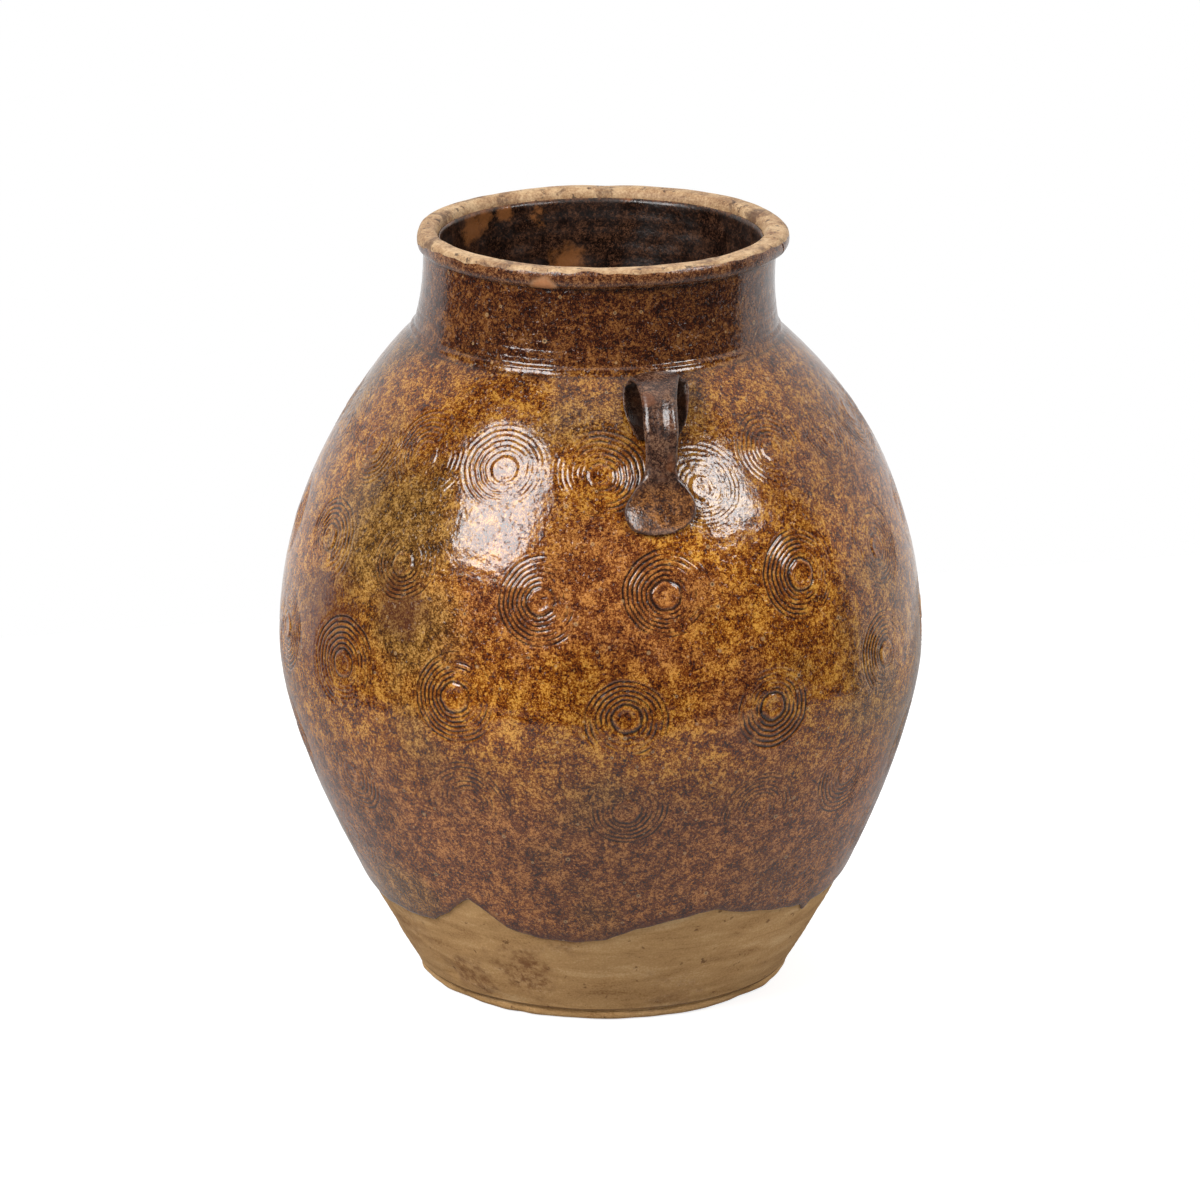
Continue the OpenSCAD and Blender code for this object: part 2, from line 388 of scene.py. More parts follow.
def maths(tree, operation, a, b=None, c=None):
    return add(tree, "Math", {0: a, 1: b, 2: c}, operation=operation).outputs[0]


def times(tree, a, b):
    return maths(tree, "MULTIPLY", a, b)


def rescale(tree, value, low, high, to_low=0.0, to_high=1.0):
    sockets = {"Value": value, "From Min": low, "From Max": high, "To Min": to_low, "To Max": to_high}
    return add(tree, "MapRange", sockets, interpolation_type="SMOOTHSTEP").outputs[0]


def blend(tree, factor, a, b, how="MIX"):
    made = add(tree, "Mix", {"Factor": factor}, data_type="RGBA", blend_type=how)
    socket(tree, made, 6, a)
    socket(tree, made, 7, b)
    return made.outputs[2]


def grey(tree, value):
    return add(tree, "CombineColor", {0: value, 1: value, 2: value}).outputs[0]


def height_of(tree, place):
    return add(tree, "SeparateXYZ", {"Vector": place}).outputs["Z"]


def stretched(tree, place, share):
    """The place with heights taken that many times, so a pattern on it lies flat."""
    return add(tree, "VectorMath", {0: place, 1: (1, 1, share)}, operation="MULTIPLY").outputs[0]


def ramp(tree, value, stops):
    made = add(tree, "ValToRGB", {"Fac": value})
    band = made.color_ramp
    while len(band.elements) < len(stops):
        band.elements.new(0.5)
    for element, (place, colour) in zip(band.elements, stops):
        element.position = place
        element.color = (*colour, 1)
    return made.outputs["Color"]


def rgb(red, green, blue):
    """A colour as it shows, 0 to 255, as a linear one."""
    shown = np.array((red, green, blue)) / 255
    linear = np.where(shown < 0.0404, shown / 12.92, ((shown + 0.055) / 1.055) ** 2.4)
    return tuple(float(c) for c in linear)


def rgba(*colour):
    return (*rgb(*colour), 1)


def near(tree, place, angle, z, inside, outside, ragged, radius=None):
    """1 within a ball round a point of the jar, falling to 0 outside it, with a ragged edge."""
    radius = float(wall_radius(z)) if radius is None else radius
    middle = tuple(settle(turned(np.float64(radius), np.float64(z), np.float64(angle))) * MM)
    away = add(tree, "VectorMath", {0: place, 1: middle}, operation="DISTANCE").outputs["Value"]
    away = maths(tree, "ADD", away, ragged)
    return rescale(tree, away, outside * MM, inside * MM)


def spots(tree, place, listed, ragged, radius=None):
    """The listed balls together: angle, height, inner and outer radius, and share each."""
    total = None
    for angle, z, inside, outside, share in listed:
        spot = near(tree, place, angle, z, inside, outside, ragged, radius)
        if share < 1:
            spot = times(tree, spot, share)
        total = spot if total is None else maths(tree, "MAXIMUM", total, spot)
    return total


def attribute(tree, name):
    return add(tree, "Attribute", {}, attribute_name=name, attribute_type="GEOMETRY").outputs["Fac"]


def bump(tree, height, distance):
    return add(tree, "Bump", {"Height": height, "Distance": distance, "Strength": 0.5}).outputs["Normal"]


def material(name):
    """A new material, its tree, its shader and the place on the object."""
    made = bpy.data.materials.new(name)
    made.use_nodes = True
    tree = made.node_tree
    shader = tree.nodes["Principled BSDF"]
    place = tree.nodes.new("ShaderNodeTexCoord").outputs["Object"]
    return made, tree, shader, place


# Glaze palettes: a speckled glaze's dark, middle, light and golden flecks
AMBER = (rgb(52, 18, 2), rgb(108, 49, 5), rgb(144, 78, 10), rgb(208, 150, 62))
REDDISH = (rgb(50, 21, 11), rgb(92, 45, 23), rgb(118, 66, 34), rgb(178, 116, 64))
OLIVE = (rgb(50, 32, 12), rgb(90, 62, 24), rgb(120, 86, 38), rgb(178, 138, 78))
NECK_BROWN = (rgb(32, 11, 5), rgb(66, 27, 11), rgb(94, 47, 20), rgb(150, 98, 50))
RIM_BROWN = (rgb(40, 20, 12), rgb(78, 40, 22), rgb(104, 62, 36), rgb(150, 104, 64))
LUG_BROWN = (rgb(32, 18, 13), rgb(60, 37, 28), rgb(82, 55, 42), rgb(124, 92, 70))
PAD_BROWN = (rgb(36, 15, 6), rgb(70, 36, 15), rgb(98, 56, 22), rgb(160, 106, 54))
LINING_BROWN = (rgb(13, 7, 5), rgb(27, 14, 10), rgb(40, 23, 15), rgb(80, 52, 36))
FLECK_STOPS = (0.435, 0.474, 0.513, 0.565)

# Patches of colour: angle, height, inner and outer radius, and share
OLIVE_PATCHES = ((-59, 268, 18, 62, 1), (-50, 225, 10, 46, 1))
PURPLE_PATCHES = ((-72, 215, 14, 40, 1), (-52, 235, 8, 24, 1))
CLAY_STAINS = ((-35, 27, 4, 26, 1), (-26, 50, 2, 16, 0.7), (-54, 22, 4, 24, 0.9), (-74, 40, 4, 30, 0.5),
               (5, 12, 2, 22, 0.6), (118, 30, 4, 34, 0.7), (196, 24, 4, 30, 0.6), (-128, 34, 4, 28, 0.6))
LINING_BARE = ((-139.6, 390.4, 4, 11, 1), (-146, 394.5, 2, 8, 1), (-156, 395, 1, 7, 1),
               (-171, 392, 1, 6, 1), (-173.5, 387, 1, 5, 1), (177.7, 365, 4, 12, 1))

# Burst bubbles in the glaze: cells a metre, share of cells left out, radius of the pit and its pale rim
GLAZE_PITS = ((85, 0.62, 0.075, 0.135), (150, 0.70, 0.10, 0.16))


def glaze_colour(tree, place, palette):
    """Speckled ash glaze: dark and golden specks over fine flecks and soft patches."""
    dark, gold = palette[0], palette[-1]
    fleck = noise(tree, place, 640, 5, 0.72, 0.2)
    grit = noise(tree, place, 1700, 2, 0.6)
    patch = noise(tree, place, 130, 4, 0.66, 0.3)
    tone = times(tree, fleck, 0.44)
    tone = maths(tree, "MULTIPLY_ADD", grit, 0.26, tone)
    tone = maths(tree, "MULTIPLY_ADD", patch, 0.30, tone)
    colour = ramp(tree, tone, list(zip(FLECK_STOPS, palette)))
    ember = rescale(tree, noise(tree, place, 820, 2, 0.5), 0.60, 0.68, 0, 0.6)
    colour = blend(tree, ember, colour, (*[c * 0.45 for c in dark], 1))
    spark = rescale(tree, noise(tree, place, 560, 3, 0.6), 0.605, 0.68, 0, 0.65)
    return blend(tree, spark, colour, (*gold, 1))


def pitted(tree, place, colour):
    """The colour with small burst bubbles: a dark pit with a pale rim."""
    for cells_a_metre, left_out, pit_r, rim_r in GLAZE_PITS:
        cells = add(tree, "TexVoronoi", {"Vector": place, "Scale": cells_a_metre})
        lot = add(tree, "SeparateColor", {0: cells.outputs["Color"]}).outputs[0]
        chosen = maths(tree, "GREATER_THAN", lot, left_out)
        away = cells.outputs["Distance"]
        rim = times(tree, chosen, rescale(tree, away, rim_r, pit_r, 0, 0.6))
        colour = blend(tree, rim, colour, rgba(188, 150, 104))
        pit = times(tree, chosen, rescale(tree, away, pit_r, pit_r * 0.6, 0, 0.85))
        colour = blend(tree, pit, colour, rgba(52, 42, 38))
    return colour


def glaze_patches(tree, place, wisp):
    """The brown glaze before its stamps: amber, redder low down, olive and purple in places, with painted
    shade darkening the shoulder.
    """
    colour = glaze_colour(tree, place, AMBER)
    cloud = noise(tree, place, 8, 3, 0.5, 0.3)
    ragged = maths(tree, "MULTIPLY_ADD", wisp, 0.06, -0.03)
    height = height_of(tree, place)
    uneven_height = maths(tree, "ADD", height, ragged)
    low = times(tree, rescale(tree, uneven_height, 0.175, 0.125), 0.85)
    low = maths(tree, "MAXIMUM", low, rescale(tree, cloud, 0.54, 0.66, 0, 0.75))
    colour = blend(tree, low, colour, glaze_colour(tree, place, REDDISH))
    olive = spots(tree, place, OLIVE_PATCHES, ragged)
    olive = maths(tree, "MAXIMUM", olive, rescale(tree, cloud, 0.46, 0.36, 0, 0.6))
    colour = blend(tree, times(tree, olive, 0.8), colour, glaze_colour(tree, place, OLIVE))
    purple = spots(tree, place, PURPLE_PATCHES, ragged)
    colour = blend(tree, times(tree, purple, 0.6), colour, rgba(74, 36, 30))
    neck = rescale(tree, maths(tree, "MULTIPLY_ADD", ragged, 0.4, height), 0.338, 0.354)
    colour = blend(tree, neck, colour, glaze_colour(tree, place, NECK_BROWN))
    shade = rescale(tree, noise(tree, place, 16, 4, 0.6), 0.32, 0.68, 0.84, 1.14)
    colour = blend(tree, 1.0, colour, grey(tree, shade), "MULTIPLY")
    # Painted shade: the glaze is darkened over the shoulder, from about 262 to 315 mm up.
    shoulder_painted_shade = rescale(tree, uneven_height, 0.262, 0.315, 1.0, 0.72)
    return blend(tree, 1.0, colour, grey(tree, shoulder_painted_shade), "MULTIPLY")


def make_brown_glaze():
    made, tree, shader, place = material("brown_glaze")
    wisp = noise(tree, place, 30, 4, 0.6)
    colour = glaze_patches(tree, place, wisp)
    pooled = maths(tree, "MULTIPLY_ADD", wisp, 0.5, attribute(tree, "groove"))
    colour = blend(tree, rescale(tree, pooled, 0.5, 0.95, 0, 0.9), colour, rgba(34, 20, 14))
    ridge = rescale(tree, attribute(tree, "ridge"), 0.2, 1.0, 0, 0.3)
    colour = blend(tree, ridge, colour, rgba(166, 98, 40))
    colour = blend(tree, times(tree, attribute(tree, "edge"), 0.75), colour, rgba(70, 34, 24))
    socket(tree, shader, "Base Color", pitted(tree, place, colour))
    socket(tree, shader, "Roughness", rescale(tree, wisp, 0.3, 0.7, 0.07, 0.16))
    shader.inputs["IOR"].default_value = 1.52
    peel = noise(tree, place, 210, 3, 0.5)
    pinholes = rescale(tree, noise(tree, place, 520, 2, 0.5), 0.40, 0.30, 0, -0.5)
    peel = maths(tree, "MULTIPLY_ADD", noise(tree, place, 1100, 2, 0.5), 0.12, peel)
    socket(tree, shader, "Normal", bump(tree, maths(tree, "ADD", peel, pinholes), 0.0005))
    return made


def make_clay():
    """Bare buff stoneware with turning streaks, rusty stains and dark spots."""
    made, tree, shader, place = material("bare_clay")
    streak = noise(tree, stretched(tree, place, 5), 26, 5, 0.62, 0.5)
    grain = noise(tree, place, 900, 3, 0.6)
    tone = maths(tree, "MULTIPLY_ADD", streak, 0.65, times(tree, grain, 0.35))
    colour = ramp(tree, tone, [(0.34, rgb(142, 102, 60)), (0.44, rgb(174, 134, 86)),
                               (0.54, rgb(188, 148, 98)), (0.66, rgb(206, 170, 124))])
    ragged = maths(tree, "MULTIPLY_ADD", noise(tree, place, 45, 5, 0.65), 0.07, -0.035)
    stain = spots(tree, place, CLAY_STAINS, ragged)
    mottle = rescale(tree, noise(tree, place, 190, 5, 0.75), 0.40, 0.62, 0.12, 1)
    colour = blend(tree, times(tree, times(tree, stain, mottle), 0.85), colour, rgba(112, 68, 36))
    dark_spots = rescale(tree, noise(tree, place, 170, 3, 0.6), 0.64, 0.72, 0, 0.7)
    colour = blend(tree, dark_spots, colour, rgba(92, 54, 30))
    above = maths(tree, "ADD", height_of(tree, place), -FOOT_H * MM)
    seam = rescale(tree, maths(tree, "ABSOLUTE", above), 0.0010, 0.0002, 0, 0.5)
    colour = blend(tree, seam, colour, rgba(84, 52, 30))
    socket(tree, shader, "Base Color", colour)
    shader.inputs["Roughness"].default_value = 0.82
    shader.inputs["Specular IOR Level"].default_value = 0.3
    scratch = noise(tree, stretched(tree, place, 14), 90, 4, 0.6)
    height = maths(tree, "MULTIPLY_ADD", scratch, 0.6, noise(tree, place, 700, 3, 0.6))
    socket(tree, shader, "Normal", bump(tree, height, 0.0005))
    return made


def make_rim_clay():
    """Bare clay on the rim's land, smeared and spotted, with brown glaze where "under" is 1."""
    made, tree, shader, place = material("rim_clay")
    grain = noise(tree, place, 800, 3, 0.6)
    wisp = noise(tree, place, 70, 5, 0.65, 0.4)
    tone = maths(tree, "MULTIPLY_ADD", wisp, 0.6, times(tree, grain, 0.4))
    colour = ramp(tree, tone, [(0.36, rgb(120, 84, 54)), (0.47, rgb(166, 130, 92)),
                               (0.58, rgb(198, 166, 126))])
    smear = rescale(tree, noise(tree, place, 38, 6, 0.72, 0.6), 0.53, 0.63)
    colour = blend(tree, times(tree, smear, 0.7), colour, rgba(72, 42, 24))
    dark_spots = rescale(tree, noise(tree, place, 240, 3, 0.6), 0.60, 0.68, 0, 0.8)
    colour = blend(tree, dark_spots, colour, rgba(48, 28, 18))
    ragged = maths(tree, "MULTIPLY_ADD", noise(tree, place, 60, 4, 0.6), 0.9, -0.45)
    cover = maths(tree, "MULTIPLY_ADD", ragged, 0.6, attribute(tree, "under"))
    bare = near(tree, place, -31, HEIGHT - 12, 4, 9, times(tree, ragged, 0.008), ROLL_R_MID + 4)
    cover = times(tree, rescale(tree, cover, 0.42, 0.56), maths(tree, "SUBTRACT", 1.0, bare))
    colour = blend(tree, cover, colour, glaze_colour(tree, place, RIM_BROWN))
    colour = blend(tree, times(tree, bare, 0.8), colour, rgba(176, 112, 66))
    colour = blend(tree, times(tree, attribute(tree, "crack"), 0.9), colour, rgba(30, 18, 12))
    socket(tree, shader, "Base Color", colour)
    socket(tree, shader, "Roughness", rescale(tree, cover, 0, 1, 0.62, 0.2))
    fine = noise(tree, place, 900, 2, 0.5)
    height = maths(tree, "MULTIPLY_ADD", noise(tree, place, 240, 4, 0.6), 1.0, fine)
    socket(tree, shader, "Normal", bump(tree, height, 0.0005))
    return made


def make_lug_glaze():
    """Thin dark glaze on the strap, as on the body where "pad" is 1, darkest in the fold's hollow, where
    "shade" is 1, from glaze pooled there and painted shade.
    """
    made, tree, shader, place = material("lug_glaze")
    colour = glaze_colour(tree, place, LUG_BROWN)
    worn = rescale(tree, noise(tree, place, 90, 4, 0.6), 0.56, 0.7, 0, 0.5)
    colour = blend(tree, worn, colour, rgba(116, 66, 34))
    body = glaze_colour(tree, place, PAD_BROWN)
    colour = blend(tree, times(tree, attribute(tree, "pad"), 0.85), colour, body)
    # Painted shade in the fold's hollow over the tail, together with the glaze pooled there.
    colour = blend(tree, times(tree, attribute(tree, "shade"), 0.75), colour, rgba(30, 17, 12))
    brim = rescale(tree, attribute(tree, "brim"), 0.3, 0.9, 0, 0.7)
    colour = blend(tree, brim, colour, rgba(66, 42, 32))
    socket(tree, shader, "Base Color", colour)
    patchy = noise(tree, place, 120, 3, 0.5)
    socket(tree, shader, "Roughness", rescale(tree, patchy, 0.3, 0.7, 0.16, 0.34))
    peel = noise(tree, place, 300, 3, 0.6)
    peel = maths(tree, "MULTIPLY_ADD", noise(tree, place, 900, 2, 0.5), 0.3, peel)
    socket(tree, shader, "Normal", bump(tree, peel, 0.0006))
    return made


def make_lining():
    """Dark glaze inside, with bare patches of clay near the rim and along its inner edge."""
    made, tree, shader, place = material("lining_glaze")
    colour = glaze_colour(tree, place, LINING_BROWN)
    ragged = maths(tree, "MULTIPLY_ADD", noise(tree, place, 150, 5, 0.7), 0.022, -0.011)
    bare = spots(tree, place, LINING_BARE, ragged, MOUTH_R)
    brink = maths(tree, "MULTIPLY_ADD", ragged, 0.5, height_of(tree, place))
    brink = rescale(tree, brink, 0.397, 0.4015, 0, 1)
    bare = maths(tree, "MAXIMUM", times(tree, bare, 0.85), brink)
    socket(tree, shader, "Base Color", blend(tree, bare, colour, rgba(134, 84, 46)))
    patchy = noise(tree, place, 60, 3, 0.5)
    socket(tree, shader, "Roughness", rescale(tree, patchy, 0.3, 0.7, 0.22, 0.45))
    socket(tree, shader, "Normal", bump(tree, noise(tree, place, 420, 3, 0.6), 0.0006))
    return made


BROWN_GLAZE = make_brown_glaze()
CLAY = make_clay()
RIM_CLAY = make_rim_clay()
LUG_GLAZE = make_lug_glaze()
LINING = make_lining()


# Clay sections under the glaze

# Knocks and finger dents in the bare foot: angle, height, radius, depth
FOOT_DENTS = ((-62, 17, 7, 1.6), (-47, 9, 5, 0.8), (-12, 30, 9, 0.7), (57, 20, 6, 0.9), (24, 12, 5, 0.6),
              (130, 18, 8, 1.2), (205, 12, 6, 1.0), (-110, 26, 9, 0.9))
# Chips in the base disc's edge: angle, half width in degrees, depth
EDGE_CHIPS = ((-62, 7, 2.2), (-40, 3, 1.0), (36, 4, 1.2), (96, 6, 1.4), (172, 5, 1.2), (-140, 6, 1.5))
BARE_TOP_Z = 78
BARE_COLUMNS = 720
COVERED_COLUMNS = 180


def clay_skin(z, angle):
    """How far bare clay stands off its outline: turning marks, knocks and finger dents."""
    skin = 0.12 * np.sin(z * 2.1 + 1.3 * np.sin(np.radians(angle) * 2)) * ripple(angle, z, 3, 60)
    skin += 0.6 * (0.35 * ripple(angle, z, 4, 38) + 0.2 * ripple(angle, z, 5, 14)) - 0.35
    for centre, level, size, depth in FOOT_DENTS:
        across = np.radians(turn_from(angle, centre)) * wall_radius(level)
        skin -= depth * np.exp(-(np.hypot(across, z - level) / size) ** 2 * 2)
    return skin


def make_section(name, low_u, high_u, step, columns, bare=False):
    """One thrown section of the wall, between two places on its outline."""
    part = (WALL_U >= low_u - 1e-9) & (WALL_U <= high_u + 1e-9)
    out_line = even(WALL_LINE[part], step)
    in_line = even(INNER_LINE[part][::-1], 4)
    radius, z, angle = spun(out_line, columns)
    if bare:
        at = np.interp(out_line[:, 1], WALL_LINE[:, 1], WALL_LENGTHS)
        normals = sample(WALL_NORMALS, WALL_LENGTHS, at)
        fade = np.clip((BARE_TOP_Z - z) / 8, 0, 1) * np.clip((z - FOOT_H + 1) / 3, 0, 1)
        off = clay_skin(z, angle) * fade
        radius = radius + off * normals[:, :1]
        z = z + off * normals[:, 1:]
    points = np.concatenate([turned(radius, z, angle), turned(*spun(in_line, columns))])
    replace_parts(ring_piece(name + "_clay", points, CLAY), name)


def make_walls():
    low_u, high_u = np.interp((LOW_JOINT_Z, HIGH_JOINT_Z), WALL_LINE[:, 1], WALL_U)
    make_section("lower_wall", 0, low_u, 1.2, BARE_COLUMNS, bare=True)
    make_section("belly_wall", low_u, high_u, 5, COVERED_COLUMNS)
    make_section("shoulder_wall", high_u, 2, 5, COVERED_COLUMNS)


def make_base():
    """The round slab: flat below, a rounded and chipped edge, and a ledge up to the wall's seat."""
    seat = INNER_LINE[0] - WALL_LINE[0]
    lip = WALL_LINE[0] + seat * FOOT_GROOVE / np.linalg.norm(seat)
    edge = FOOT_R - FOOT_SETBACK
    bottom = [(0.5, 0.0), (60, 0.0), (edge - FOOT_ROUND, 0.0)]
    corner = [(edge - FOOT_ROUND + FOOT_ROUND * math.cos(a), FOOT_ROUND + FOOT_ROUND * math.sin(a))
              for a in np.radians(np.linspace(-90, 0, 9))]
    side = [(edge, 3.4), (edge - 0.1, FOOT_H - 1.6), (edge - 0.5, FOOT_H - 0.9), tuple(lip)]
    top = [tuple(INNER_LINE[0]), (INNER_LINE[0][0] - FLOOR_BEVEL, FLOOR_T), (60, FLOOR_T), (0.5, FLOOR_T)]
    line = np.vstack([even(np.array(bottom), 12), corner[1:], side, top])
    radius, z, angle = spun(line, BARE_COLUMNS)
    outer = np.clip((radius - 90) / 8, 0, 1) * (z < FOOT_H)
    off = 0.9 * round_ripple(angle, 11, 40) + 0.45 * round_ripple(angle, 12, 12) - 0.7
    for centre, size, depth in EDGE_CHIPS:
        off -= depth * bell(turn_from(angle, centre), 0, size)
    points = turned(radius + outer * off, z, angle)
    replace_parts(capped_piece("base_disc_clay", points, CLAY), "base_disc")


def make_neck():
    """The neck's collar, and the coil pressed round its root."""
    line = np.vstack([even(neck_outline(), 3), [(MOUTH_R, NECK_END_Z)], throat_line()[::-1]])
    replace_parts(ring_piece("neck_collar_clay", turned(*spun(line, 240)), CLAY), "neck_collar")
    turn = np.radians(np.linspace(0, 360, 12, endpoint=False))
    coil = np.stack([NECK_ROOT_R - COIL_SINK + COIL_R * np.cos(turn),
                     NECK_Z + COIL_LIFT + COIL_R * np.sin(turn)], 1)
    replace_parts(ring_piece("neck_coil_clay", turned(*spun(coil, 480)), CLAY), "neck_coil")


# The outer glaze

# Angle and height of its lower edge: bows between the cusps where two dips overlap
GLAZE_EDGE = (
    (-102, 71), (-96, 62), (-88, 55), (-80, 52.4), (-66, 52), (-57, 54.5), (-51, 62), (-46, 71.5),
    (-44, 73.9), (-41.5, 69.5), (-36, 59), (-29, 54), (-20, 53.2), (-13, 55.5), (-6, 62), (2, 66.3),
    (12, 69.8), (20, 64.5), (28, 60.8), (36, 58), (39.5, 56.5), (41.6, 52), (43.6, 56.8), (52, 57.2),
    (61, 61), (71, 69.5), (78, 62), (90, 54), (108, 52.5), (124, 59), (136, 71.5), (143, 62),
    (158, 54), (176, 55), (190, 63), (200, 70), (207, 61), (222, 54), (240, 56), (252, 65))

# Rows of stamps, as the photograph shows them: spacing in degrees, depth as a share of RING_DEPTH,
# and each stamp's angle from the camera's side and height, with its own share where it differs
STAMP_ROWS = (
    (20.5, 0.60, ((-60.5, 305.7), (-42.4, 307.6), (-21.1, 306.1), (-0.1, 305.1, 0.85), (21.8, 297.4, 0.3),
                  (42, 309.6), (62.3, 306.2))),
    (25.5, 0.85, ((-63, 255.9), (-39.7, 255.6), (-11, 246.8, 1.0), (11.8, 249.1, 1.15), (40.1, 250.4, 1.15),
                  (64, 249.5))),
    (27.0, 0.95, ((-75.7, 199.1), (-51.4, 197.8), (-26, 194.5, 1.05), (4.5, 189.3, 1.1), (31.1, 188, 1.15),
                  (61, 196.4))),
    (26.5, 0.70, ((-53, 136.6), (-24.3, 136.6), (4.6, 135.8, 0.9), (30.3, 130.7), (52.2, 137.8, 0.85))),
    (27.5, 0.32, ((-63.5, 94.3), (-38.2, 104), (-9.8, 89.5), (15.7, 85.6), (46.5, 86.9))))
LONE_STAMP = (22, 231, 0.35)
RING_DEPTH = 0.72
STAMP_REACH = 31.0

# Lines cut round the neck: height, depth, width
NECK_LINES = ((365.4, 0.16, 0.5), (360.7, 0.22, 0.55), (356.4, 0.14, 0.5), (352.8, 0.3, 0.7))
COAT_COLUMNS = 1320
COAT_ROWS = 470
COAT_BACK_ROWS = 26
COAT_BACK_SINK = 0.02


def glaze_edge(angle):
    """The height of the glaze's lower edge."""
    places, heights = np.transpose(GLAZE_EDGE)
    places = np.concatenate([places - 360, places, places + 360])
    first = GLAZE_EDGE[0][0]
    z = np.interp((angle - first) % 360 + first, places, np.tile(heights, 3))
    return z + 0.7 * round_ripple(angle, 21, 26) + 0.35 * round_ripple(angle, 22, 8)


def all_stamps():
    """(angle, height, share) of every stamp; the rows go on round the back at their own spacing."""
    stamps = []
    for spacing, share, seen in STAMP_ROWS:
        for angle, z, *own in seen:
            stamps.append((angle + CAMERA_AZIMUTH, z, own[0] if own else share))
        first, last = seen[0][0], seen[-1][0]
        gap = 360 - (last - first)
        count = int(round(gap / spacing)) - 1
        level = np.mean([stamp[1] for stamp in seen])
        for k in range(count):
            angle = last + gap * (k + 1) / (count + 1) + rng.uniform(-2, 2)
            z = level + rng.uniform(-4, 4)
            stamps.append((angle + CAMERA_AZIMUTH, z, share * rng.uniform(0.6, 1.25)))
    stamps.append((LONE_STAMP[0] + CAMERA_AZIMUTH, *LONE_STAMP[1:]))
    return stamps


def stamp_waves(heading, turns, rate=0):
    """Waves round a stamp, starting anywhere, that also turn as they go out."""
    return np.sin(turns * heading + rate + rng.uniform(0, 6))


def press_stamp(relief, groove, ridge, angle, z, radius, stamp):
    """Presses one stamp of concentric rings into the glaze's surface."""
    centre, level, strength = stamp
    turn = turn_from(angle, centre)
    across = np.radians(turn) * radius
    rows, columns = np.nonzero((np.abs(z - level) < STAMP_REACH) & (np.abs(across) < STAMP_REACH))
    if not len(rows):
        return
    x = across[rows, columns]
    middle = min(np.searchsorted(WALL_LINE[:, 1], level), len(WALL_NORMALS) - 1)
    y = (z[rows, columns] - level) / max(abs(WALL_NORMALS[middle][0]), 0.35)
    pitch, disc, rings = rng.uniform(2.35, 2.75), rng.uniform(7.0, 8.2), int(rng.integers(6, 8))
    rim = disc + pitch * (rings - 0.3)
    drift, drift_way = rng.uniform(1.0, 3.2), rng.uniform(0, 2 * math.pi)
    share = np.clip(np.hypot(x, y) / rim, 0, 1.2)
    x = x + drift * share * math.cos(drift_way)
    y = y + drift * share * math.sin(drift_way)
    heading = np.arctan2(y, x)
    away = np.hypot(x, y) * (1 + 0.02 * np.cos(2 * heading + rng.uniform(0, 6)))
    away = away + 0.16 * stamp_waves(heading, 5) + 0.10 * stamp_waves(heading, 11)
    wave = 0.5 - 0.5 * np.cos(2 * math.pi * (away - disc) / pitch)
    side = 0.5 + 0.5 * np.cos(heading - drift_way - math.pi * rng.choice((0, 1)) + rng.normal() * 0.5)
    patchy = stamp_waves(heading, 4, away * 0.5) + stamp_waves(heading, 7, -away * 0.35)
    press = 0.42 + 0.62 * side + 0.17 * patchy - 0.12 * share * (1.4 - side)
    press = np.clip(press, 0.08, 1.15) * strength
    rings_here = (1 - step_up(away, rim, 0.6)) * step_up(away, disc + 0.2, 0.4) * press
    cut = (1 - wave) ** 1.5 * rings_here
    moat = bell(away, disc + 0.1, 1.0) * (0.5 + 0.5 * press) * strength
    collar = bell(away, disc - 1.9, 0.9) * strength
    dish = np.exp(-(away / (disc * 0.6)) ** 6) * 0.22 * strength
    low = np.exp(-(away / rim) ** 4) * 0.12 * strength
    relief[rows, columns] += -RING_DEPTH * np.maximum(cut, moat) + 0.26 * collar - dish - low
    dark = np.clip(np.maximum(cut, 0.85 * moat), 0, 1)
    groove[rows, columns] = np.maximum(groove[rows, columns], dark)
    lit = np.clip(np.maximum(wave * rings_here, collar * 0.9), 0, 1)
    ridge[rows, columns] = np.maximum(ridge[rows, columns], lit)


def coat_relief(radius, z, angle):
    """The glaze's relief, with how far each point lies in a groove and on a ridge."""
    relief, groove, ridge = np.zeros((3, *radius.shape))
    for stamp in all_stamps():
        press_stamp(relief, groove, ridge, angle, z, radius, stamp)
    wobble = 0.5 * round_ripple(angle, 31, 120)
    for level, depth, width in NECK_LINES:
        cut = bell(z + wobble, level, width)
        relief -= depth * cut
        groove = np.maximum(groove, cut * np.clip(0.45 + 0.4 * round_ripple(angle, 36, 50), 0, 0.8))
    relief += 0.95 * bell(z, NECK_Z + 0.6, 1.7) * (1 + 0.2 * round_ripple(angle, 32, 20))
    groove = np.maximum(groove, 0.55 * bell(z, NECK_Z - 2.6, 0.9))
    relief += 0.02 * np.sin(z * 0.85 + ripple(angle, z, 33, 90))
    relief += 0.07 * ripple(angle, z, 34, 30) + 0.02 * ripple(angle, z, 35, 9)
    return relief, groove, ridge


